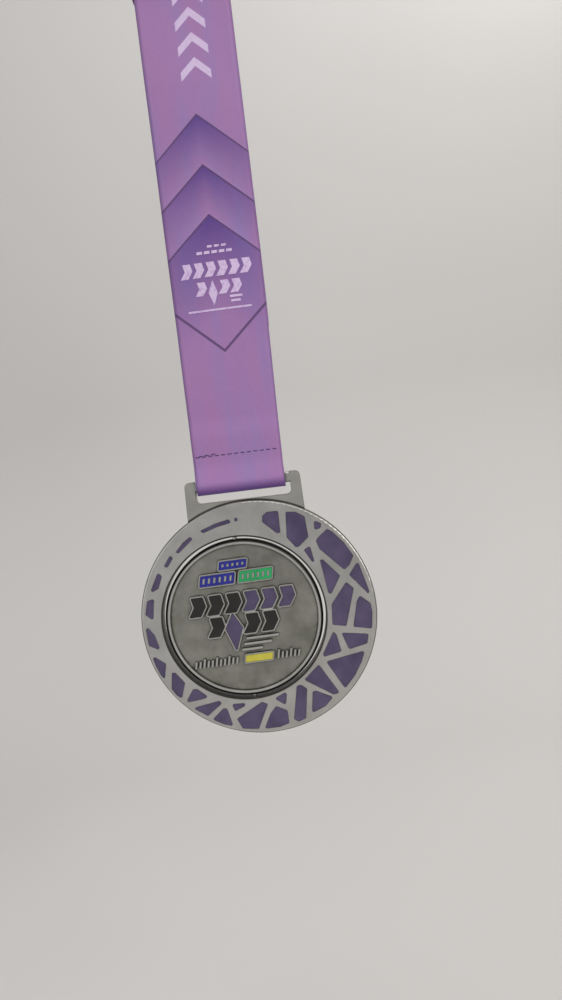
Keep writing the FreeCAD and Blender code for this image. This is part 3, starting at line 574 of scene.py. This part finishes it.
def antique_silver(name, front, proud, sunk, edge_dark, ring_shades):
    """Zinc alloy, die cast, silver plated and antiqued: bright on what the polishing wheel reaches,
    grey where it lies lower, black in the corners, along the edges and in the ring shades, with a fine cast grain
    on the back.
    That black is painted shade, which also stands for the antique black of the hollows.
    A ring shade is (centre, radius, half width, strength)."""
    material, tree = new_material(name)
    place = add(tree, "ShaderNodeTexCoord").outputs["Object"]
    black = hex_colour(edge_dark)
    made = {"y": add(tree, "ShaderNodeSeparateXYZ", {"Vector": place}).outputs["Y"]}
    for noise, (grain, roughness) in METAL_NOISES.items():
        made[noise] = add(tree, NOISE, {"Vector": place, "Scale": 1 / (grain * MM), "Detail": 3.0,
                                        "Roughness": roughness})
    edge_shade_normal = add(tree, "ShaderNodeBevel", {"Radius": EDGE_SHADE_REACH}, samples=6)
    normal = add(tree, "ShaderNodeNewGeometry").outputs["Normal"]
    made["flat"] = add(tree, "ShaderNodeVectorMath", {0: edge_shade_normal, 1: normal}, operation="DOT_PRODUCT")
    made["facing"] = add(tree, "ShaderNodeSeparateXYZ", {"Vector": normal}).outputs["Y"]
    # painted shade in the corners, under walls and between the parts, standing also for the antique black of the
    # hollows
    corner = add(tree, "ShaderNodeAmbientOcclusion", {"Distance": CORNER_REACH}, samples=8)
    made["corner"] = corner.outputs["AO"]
    chain(tree, made, [
        ("from_plane", MATH, MINUS, "y", MEDAL_Y),
        ("depth", MATH, UNSIGNED, "from_plane"),
        ("height", RANGE, EASED, "depth", front - PROUD, front - SKIN),
        # painted shade along every edge of the casting, which in the hollows also stands for the antique black
        ("line", RANGE, {}, "flat", BENT, FLAT, EDGE_SHADE_STRENGTH, 0.0),
        ("stain", MATH, MINUS, "stains", 0.5),
        ("stain_share", MATH, TIMES, "stain", STAIN),
        ("open", MATH, PLUS, "corner", "stain_share"),
        ("clean", RANGE, {}, "open", BLACK_AND_SHADE_FULL, BLACK_AND_SHADE_NONE),
        ("roughness", RANGE, {}, "handling", 0.0, 1.0, POLISHED, HANDLED),
        ("behind", RANGE, {}, "facing", SIDEWAYS, BACKWARDS, FRONT_GRAIN, 1.0),
        ("grain", MATH, TIMES, "cast_grain", "behind")])
    low_tone, high_tone = (add(tree, RAMP, {"Fac": made["clouds"]}, [(0.3, tones[0]), (0.7, tones[1])])
                           for tones in (sunk, proud))
    tone = add(tree, MIX, {0: made["height"], 6: low_tone, 7: high_tone}, **COLOURS)
    # painted shade in rings: in the gap round the disc, along the ring's outer edge and on the disc's rim,
    # standing also for the antique black there
    for centre, radius, half_width, strength in ring_shades:
        spoke = add(tree, "ShaderNodeVectorMath", {0: place, 1: centre}, operation="SUBTRACT")
        level = add(tree, "ShaderNodeVectorMath", {0: spoke, 1: (1.0, 0.0, 1.0)}, operation="MULTIPLY")
        made["reach"] = add(tree, "ShaderNodeVectorMath", {0: level}, operation="LENGTH")
        chain(tree, made, [
            ("past_radius", MATH, MINUS, "reach", radius),
            ("from_groove", MATH, UNSIGNED, "past_radius"),
            ("groove", RANGE, EASED, "from_groove", half_width, half_width + RING_SHADE_EDGE, strength, 0.0)])
        tone = add(tree, MIX, {0: made["groove"], 6: tone, 7: black}, **COLOURS)
    # the painted edge shade
    tone = add(tree, MIX, {0: made["line"], 6: tone, 7: black}, **COLOURS)
    # painted shade in the corners and between parts, with the antique black
    colour = add(tree, MIX, {0: made["clean"], 6: black, 7: tone}, **COLOURS)
    rounded = add(tree, "ShaderNodeBevel", {"Radius": EDGE_EASE}, samples=4)
    skin = add(tree, "ShaderNodeBump", {"Height": made["grain"], "Distance": 0.04 * MM, "Strength": 0.7,
                                        "Normal": rounded})
    shade(tree, {"Base Color": colour, "Metallic": 0.9, "Roughness": made["roughness"], "Normal": skin})
    return material


def soft_enamel(name, low, high):
    """Soft enamel, poured in the cells and baked: even colour, a satin skin with a faint unevenness,
    and painted shade, darker where it meets the metal wall."""
    material, tree = new_material(name)
    place = add(tree, "ShaderNodeTexCoord").outputs["Object"]
    uneven = add(tree, NOISE, {"Vector": place, "Scale": 1 / (4.5 * MM), "Detail": 3.0})
    tone = add(tree, RAMP, {"Fac": uneven}, [(0.3, low), (0.7, high)])
    # painted shade where the enamel meets the metal wall
    wall = add(tree, "ShaderNodeAmbientOcclusion", {"Distance": 0.7 * MM}, samples=8).outputs["AO"]
    shadow = add(tree, RAMP, {"Fac": wall}, [(0.45, "#8A8590"), (0.8, "#FFFFFF")])
    colour = add(tree, MIX, {0: 1.0, 6: tone, 7: shadow}, blend_type="MULTIPLY", **COLOURS)
    swells = add(tree, NOISE, {"Vector": place, "Scale": 1 / (1.3 * MM)})
    skin = add(tree, "ShaderNodeBump", {"Height": swells, "Distance": 0.03 * MM, "Strength": 0.6})
    shade(tree, {"Base Color": colour, "Roughness": 0.34, "Coat Weight": 0.2, "Coat Roughness": 0.2,
                 "Normal": skin})
    return material


def banded(name, scale, direction, distortion, stops, relief, surface):
    """A material whose tone and relief follow the same bands. Relief is (depth, strength)."""
    material, tree = new_material(name)
    place = add(tree, "ShaderNodeTexCoord").outputs["Object"]
    bands = add(tree, WAVE, {"Vector": place, "Scale": 1 / scale, "Distortion": distortion},
                bands_direction=direction).outputs["Fac"]
    tone = add(tree, RAMP, {"Fac": bands}, stops)
    relieved = add(tree, "ShaderNodeBump", {"Height": bands, "Distance": relief[0], "Strength": relief[1]})
    shade(tree, {"Base Color": tone, "Normal": relieved, **surface})
    return material


def steel_pin():
    """Stainless steel wire, drawn: bright, with faint rings 1.3 mm apart."""
    return banded("stainless_steel_drawn", 4.0 * MM, "Z", 0.5, [(0.3, "#A9A9A4"), (0.7, "#D0D0CB")],
                  (0.01 * MM, 0.5), {"Metallic": 1.0, "Roughness": 0.28})


def sewing_thread():
    """Spun polyester thread, twisted: matt, with a diagonal lay every 0.8 mm, coarse enough to show."""
    return banded("polyester_thread_twisted", 2.2 * MM, "DIAGONAL", 0.8, [(0.2, "#33204A"), (0.8, "#4E3570")],
                  (0.05 * MM, 0.8), {"Roughness": 0.7, "Sheen Weight": 0.3})


def knitted_elastic():
    """Knitted elastic band: matt, slightly fuzzy cords side by side, each crossed by loops 0.8 mm apart."""
    return banded("elastic_knitted", 2.6 * MM, "Z", 1.5, [(0.2, "#2E1D45"), (0.8, "#4B3266")],
                  (0.08 * MM, 0.8), {"Roughness": 0.8, "Sheen Weight": 0.3})


def white_ink():
    """Screen ink on the cloth: a thin pale film, a little worn, in which the weave still shows."""
    material, tree = new_material("screen_ink_white_printed")
    place = add(tree, "ShaderNodeTexCoord").outputs["Object"]
    wear = add(tree, NOISE, {"Vector": place, "Scale": 1 / INK_WEAR, "Detail": 4.0, "Roughness": 0.7})
    tone = add(tree, RAMP, {"Fac": wear}, [(0.3, "#B492C8"), (0.5, "#D6C0E3")])
    grain = add(tree, NOISE, {"Vector": place, "Scale": 1 / (0.5 * MM)})
    skin = add(tree, "ShaderNodeBump", {"Height": grain, "Distance": 0.03 * MM, "Strength": 0.5})
    shade(tree, {"Base Color": tone, "Roughness": 0.6, "Normal": skin})
    return material


def paint_nodes(materials):
    """Every shown CAD node gets the material of its own name, or of its record slot."""
    slots = {entry["node"]: entry["material_slot"] for entry in frame["record"]["subparts"]}
    for name, node in frame["nodes"].items():
        material = materials.get(name) or materials[slots[name]]
        node.data.materials.clear()
        node.data.materials.append(material)


# ---------------------------------------------------------------- pieces grown with Geometry Nodes


def new_tree(name, inputs):
    """A Geometry Nodes tree with named inputs, given as name: socket type, and its group input node."""
    tree = bpy.data.node_groups.new(name, "GeometryNodeTree")
    tree.is_modifier = True
    tree.interface.new_socket("Geometry", in_out="INPUT", socket_type="NodeSocketGeometry")
    for key, kind in inputs.items():
        tree.interface.new_socket(key, in_out="INPUT", socket_type="NodeSocket" + kind)
    tree.interface.new_socket("Geometry", in_out="OUTPUT", socket_type="NodeSocketGeometry")
    return tree, add(tree, "NodeGroupInput").outputs


def end_tree(tree, geometry, material):
    """Instances made real, painted, and given out."""
    real = add(tree, "GeometryNodeRealizeInstances", {"Geometry": geometry})
    painted = add(tree, "GeometryNodeSetMaterial", {"Geometry": real, "Material": material})
    add(tree, "NodeGroupOutput", {"Geometry": painted})


def grow(name, tree, values, points=()):
    """A plain mesh object from the tree, run on a mesh of loose points (place, turn about Z)."""
    seed_mesh = bpy.data.meshes.new(name + "_points")
    seed_mesh.from_pydata([place for place, turn in points], [], [])
    turns = seed_mesh.attributes.new("turn", "FLOAT", "POINT")
    for number, (place, turn) in enumerate(points):
        turns.data[number].value = turn
    seed = new_object(name + "_seed", seed_mesh)
    modifier = seed.modifiers.new("grow", "NODES")
    modifier.node_group = tree
    for socket in tree.interface.items_tree:
        if socket.in_out == "INPUT" and socket.name in values:
            modifier[socket.identifier] = values[socket.name]
    bpy.context.view_layer.update()
    mesh = bpy.data.meshes.new_from_object(seed.evaluated_get(bpy.context.evaluated_depsgraph_get()))
    mesh.name = name
    seed.modifiers.remove(modifier)
    bpy.data.objects.remove(seed)
    return new_object(name, mesh)


# ---------------------------------------------------------------- seam

STITCH_PITCH = 1.75 * MM
STITCH_LENGTH = 1.3 * MM
STITCH_SWAY = math.radians(5)
STITCH_SEED = 7
THREAD_WIDTH = 0.3 * MM
THREAD_SINK = 0.16 * MM                    # how far a stitch's ends go into the cloth
THREAD_PROUD = 0.08 * MM                   # how far its middle stands above it
SEAM_LEFT, SEAM_RIGHT = -11.1 * MM, 10.0 * MM
SEAM_INSET = 0.25 * MM                     # from the seam's box to the line that the stitches lie on
BACK_TACK = 3                              # stitches sewn over again where the seam starts
BACK_TACK_SHIFT = 0.45                     # of a pitch
BACK_TACK_RISE, BACK_TACK_CLIMB = 0.22 * MM, 0.12 * MM


def stitch_tree():
    """A stitch at each point: thread that comes out of the cloth, lies on it and goes in again."""
    tree, given = new_tree("stitches", {
        "Length": "Float", "Thread": "Float", "Sink": "Float", "Proud": "Float",
        "Sway": "Float", "Seed": "Int", "Material": "Material"})
    made = {word: given[word] for word in ("Length", "Thread", "Proud", "Sway")}
    chain(tree, made, [
        ("right", MATH, TIMES, "Length", 0.5),
        ("left", MATH, TIMES, "Length", -0.5),
        ("outwards", MATH, TIMES, "Proud", -2.0),
        ("radius", MATH, TIMES, "Thread", 0.5),
        ("least_sway", MATH, TIMES, "Sway", -1.0)])
    start = add(tree, "ShaderNodeCombineXYZ", {"X": made["left"], "Y": given["Sink"]})
    middle = add(tree, "ShaderNodeCombineXYZ", {"Y": made["outwards"]})
    end = add(tree, "ShaderNodeCombineXYZ", {"X": made["right"], "Y": given["Sink"]})
    path = add(tree, "GeometryNodeCurveQuadraticBezier",
               {"Resolution": 7, "Start": start, "Middle": middle, "End": end})
    section = add(tree, "GeometryNodeCurvePrimitiveCircle", {"Resolution": 7, "Radius": made["radius"]})
    stitch = add(tree, "GeometryNodeCurveToMesh",
                 {"Curve": path, "Profile Curve": section, "Fill Caps": True})
    sway = add(tree, "FunctionNodeRandomValue",
               {2: made["least_sway"], 3: given["Sway"], "Seed": given["Seed"]}, data_type="FLOAT")
    turn = add(tree, "GeometryNodeInputNamedAttribute", {"Name": "turn"}, data_type="FLOAT")
    angles = add(tree, "ShaderNodeCombineXYZ", {"Y": sway, "Z": turn})
    placed = add(tree, "GeometryNodeInstanceOnPoints",
                 {"Points": given["Geometry"], "Instance": stitch, "Rotation": angles})
    end_tree(tree, placed, given["Material"])
    return tree


def make_seam(thread):
    """The lockstitch row through the four layers, seen on the front and the back, with a back-tack."""
    low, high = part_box("ribbon_seam")
    level = (low.z + high.z) / 2
    count = int((SEAM_RIGHT - SEAM_LEFT) / STITCH_PITCH) + 1
    points = []
    for y, turn in ((low.y + SEAM_INSET, 0.0), (high.y - SEAM_INSET, math.pi)):
        for number in range(count):
            points.append(((SEAM_LEFT + number * STITCH_PITCH, y, level), turn))
        for number in range(BACK_TACK):
            x = SEAM_LEFT + (number + BACK_TACK_SHIFT) * STITCH_PITCH
            points.append(((x, y, level + BACK_TACK_RISE + BACK_TACK_CLIMB * number), turn))
    seam = grow("seam_stitches", stitch_tree(), {
        "Length": STITCH_LENGTH, "Thread": THREAD_WIDTH, "Sink": THREAD_SINK, "Proud": THREAD_PROUD,
        "Sway": STITCH_SWAY, "Seed": STITCH_SEED, "Material": thread}, points)
    seam.data.shade_smooth()
    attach(seam, "ribbon")
    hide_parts("ribbon_seam")


# ---------------------------------------------------------------- tie of the hank

TIE_CORD = 0.56 * MM                       # width of one knitted cord
TIE_CORE = 0.3 * MM
TIE_CORE_SHARE = 0.9                       # the core's height as a share of the band's
TIE_CORNER = 1.1 * MM
TIE_INSET = 0.1 * MM


def tie_tree():
    """A flat core round a rounded rectangle, with a knitted cord standing on it every pitch."""
    tree, given = new_tree("elastic_tie", {
        "Width": "Float", "Depth": "Float", "Height": "Float", "Corner": "Float",
        "Core": "Float", "Cord": "Float", "Material": "Material"})
    made = {word: given[word] for word in ("Height", "Cord")}
    chain(tree, made, [
        ("core_height", MATH, TIMES, "Height", TIE_CORE_SHARE),
        ("radius", MATH, TIMES, "Cord", 0.5),
        ("upright", MATH, MINUS, "Height", "Cord"),
        ("half", MATH, TIMES, "upright", 0.5),
        ("top", MATH, TIMES, "half", 1.0),
        ("foot", MATH, TIMES, "half", -1.0)])
    box = add(tree, "GeometryNodeCurvePrimitiveQuadrilateral",
              {"Width": given["Width"], "Height": given["Depth"]})
    way = add(tree, "GeometryNodeFilletCurve",
              {"Curve": box, "Count": 6, "Radius": given["Corner"]}, mode="POLY")
    section = add(tree, "GeometryNodeCurvePrimitiveQuadrilateral",
                  {"Width": given["Core"], "Height": made["core_height"]})
    core = add(tree, "GeometryNodeCurveToMesh", {"Curve": way, "Profile Curve": section})
    points = add(tree, "GeometryNodeCurveToPoints", {"Curve": way, "Length": given["Cord"]}, mode="LENGTH")
    cord = add(tree, "GeometryNodeMeshCylinder",
               {"Vertices": 8, "Side Segments": 3, "Radius": made["radius"], "Depth": made["upright"]})
    cap = add(tree, "GeometryNodeMeshUVSphere", {"Segments": 8, "Rings": 6, "Radius": made["radius"]})
    whole = add(tree, "GeometryNodeJoinGeometry", {"Geometry": cord})
    for level in ("top", "foot"):
        lift = add(tree, "ShaderNodeCombineXYZ", {"Z": made[level]})
        end = add(tree, "GeometryNodeTransform", {"Geometry": cap, "Translation": lift})
        tree.links.new(end.outputs["Geometry"], whole.inputs["Geometry"])
    placed = add(tree, "GeometryNodeInstanceOnPoints", {"Points": points, "Instance": whole})
    both = add(tree, "GeometryNodeJoinGeometry", {"Geometry": placed})
    tree.links.new(core.outputs["Mesh"], both.inputs["Geometry"])
    end_tree(tree, both, given["Material"])
    return tree


def make_tie(elastic):
    """The knitted elastic band that holds the hank together."""
    low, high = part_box("ribbon_tie")
    width, depth = (side - TIE_CORD - TIE_INSET for side in (high - low).xy)
    tie = grow("hank_tie", tie_tree(), {
        "Width": width, "Depth": depth, "Height": high.z - low.z, "Corner": TIE_CORNER,
        "Core": TIE_CORE, "Cord": TIE_CORD, "Material": elastic})
    centre = (low + high) / 2
    for vertex in tie.data.vertices:
        vertex.co += centre
    tie.data.shade_smooth()
    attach(tie, "ribbon")
    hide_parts("ribbon_tie")


# ---------------------------------------------------------------- printed emblem

INK = 0.03 * MM
INK_STEP = 0.9 * MM
INK_CUTS = 3

# The emblem's outlines in mm on the cloth: across from its middle, and above the fold.
ARROW_WIDTH, ARROW_NOTCH, ARROW_SLANT = 3.0, 0.9, 0.2
ARROW_LINES = [                            # first left end, foot, step, height, filled places
    (-9.6, 58.0, 3.2, 3.9, (0, 1, 2, 3, 4, 5)), (-6.2, 53.2, 3.15, 3.6, (0, 2, 3)),
]
KITE = [(-1.4, 50.4), (-0.1, 53.6), (-1.2, 57.0), (-2.6, 53.8)]
DASH_SLANT = 0.1
DASH_LINES = [                             # first left end, foot, step, length, height, count
    (-4.6, 64.0, 2.0, 1.5, 0.75, 5), (-1.6, 65.6, 1.9, 1.3, 0.6, 3),
]
STRIPES = [                                # left, foot, right, height
    (3.0, 52.0, 6.4, 0.6), (3.2, 50.8, 5.8, 0.6), (-8.6, 49.0, 8.6, 0.5),
]


def leaned_bar(left, foot, right, height, slant=0.0):
    """A bar's corners, its top slid sideways by the slant."""
    return [(left, foot), (right, foot), (right + slant, foot + height), (left + slant, foot + height)]


def printed_shapes():
    """All the emblem's outlines. An arrow is two of them, from its foot and from its top to its point."""
    shapes = []
    for first, foot, step, height, places in ARROW_LINES:
        for number in places:
            left = first + step * number
            right = left + ARROW_WIDTH - ARROW_NOTCH
            for end in (0, 1):
                corners = [(left, end), (right, end), (right + ARROW_NOTCH, 0.5), (left + ARROW_NOTCH, 0.5)]
                shapes.append([(x + ARROW_SLANT * height * up, foot + height * up) for x, up in corners])
    shapes.append(KITE)
    for first, foot, step, length, height, count in DASH_LINES:
        for number in range(count):
            left = first + step * number
            shapes.append(leaned_bar(left, foot, left + length, height, DASH_SLANT))
    return shapes + [leaned_bar(*stripe) for stripe in STRIPES]


def make_emblem(ink):
    """The screen-printed emblem: arrows, dashes and a kite, as a thin film that follows the cloth."""
    build = bmesh.new()
    for outline in printed_shapes():
        build.faces.new([build.verts.new((x * MM, 0, z * MM)) for x, z in outline])
    bmesh.ops.triangulate(build, faces=build.faces)
    long_edges = [edge for edge in build.edges if edge.calc_length() > 2 * INK_STEP]
    bmesh.ops.subdivide_edges(build, edges=long_edges, cuts=INK_CUTS, use_grid_fill=True)
    bmesh.ops.triangulate(build, faces=build.faces)
    bmesh.ops.recalc_face_normals(build, faces=build.faces)
    surface = MEDAL_Y - LAYER / 2 - RIBBON_THICKNESS / 2 - INK
    for vert in build.verts:
        z = FOLD_Z + vert.co.z
        vert.co = Vector((waist(vert.co.x, z), surface + hang_shift(vert.co.x, z), z))
    mesh = bpy.data.meshes.new("printed_emblem")
    build.to_mesh(mesh)
    build.free()
    if mesh.polygons[0].normal.y > 0:
        mesh.flip_normals()
    emblem = new_object("printed_emblem", mesh)
    solidify = emblem.modifiers.new("ink_film", "SOLIDIFY")
    solidify.thickness = INK
    solidify.offset = 1
    mesh.materials.append(ink)
    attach(emblem, "ribbon")


# ---------------------------------------------------------------- making

# painted shade in the gap round the disc, along the ring's outer edge and on the disc's rim, partly also antique
# black: half width and strength
OPENING_LINE, OPENING_DARK = 0.3 * MM, 0.92
OUTLINE, OUTLINE_DARK = 0.22 * MM, 0.75
DISC_LINE, DISC_DARK = 0.62 * MM, 0.92

make_camera()
make_cove()
make_lights()

ribbon, ribbon_length = make_ribbon()
for cloth in (printed_ribbon(), plain_ribbon(), selvedge_cloth()):
    ribbon.data.materials.append(cloth)
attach(ribbon, "ribbon")
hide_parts("ribbon")

thread, elastic = sewing_thread(), knitted_elastic()
make_seam(thread)
make_tie(elastic)
make_emblem(white_ink())
paint_nodes({
    "ring_casting": antique_silver(
        "zinc_alloy_cast_silver_plated", MEDAL_HALF,
        ("#B4B3AF", "#C6C5C2"), ("#A9A8A1", "#BBBAB4"), "#2B2923",
        [(DISC_CENTRE, OPENING_RADIUS, OPENING_LINE, OPENING_DARK),
         (RING_CENTRE, RING_RADIUS, OUTLINE, OUTLINE_DARK)]),
    "disc_casting": antique_silver(
        "zinc_alloy_cast_antiqued", DISC_HALF,
        ("#B9B9B3", "#CBCBC6"), ("#82827A", "#A3A29A"), "#1C1A15",
        [(DISC_CENTRE, DISC_RADIUS, DISC_LINE, DISC_DARK)]),
    "steel_pin": steel_pin(),
    "violet_enamel": soft_enamel("violet_enamel_soft_baked", "#403756", "#564C6B"),
    "black_enamel": soft_enamel("black_enamel_soft_baked", "#11100D", "#1C1A17"),
    "blue_enamel": soft_enamel("blue_enamel_soft_baked", "#1A1C80", "#242A92"),
    "green_enamel": soft_enamel("green_enamel_soft_baked", "#1F9A58", "#2BAE68"),
    "yellow_enamel": soft_enamel("yellow_enamel_soft_baked", "#BDB43C", "#CFC74C"),
    "sewing_thread": thread,
    "tie_band": elastic,
    "satin_ribbon": ribbon.data.materials[0],
})
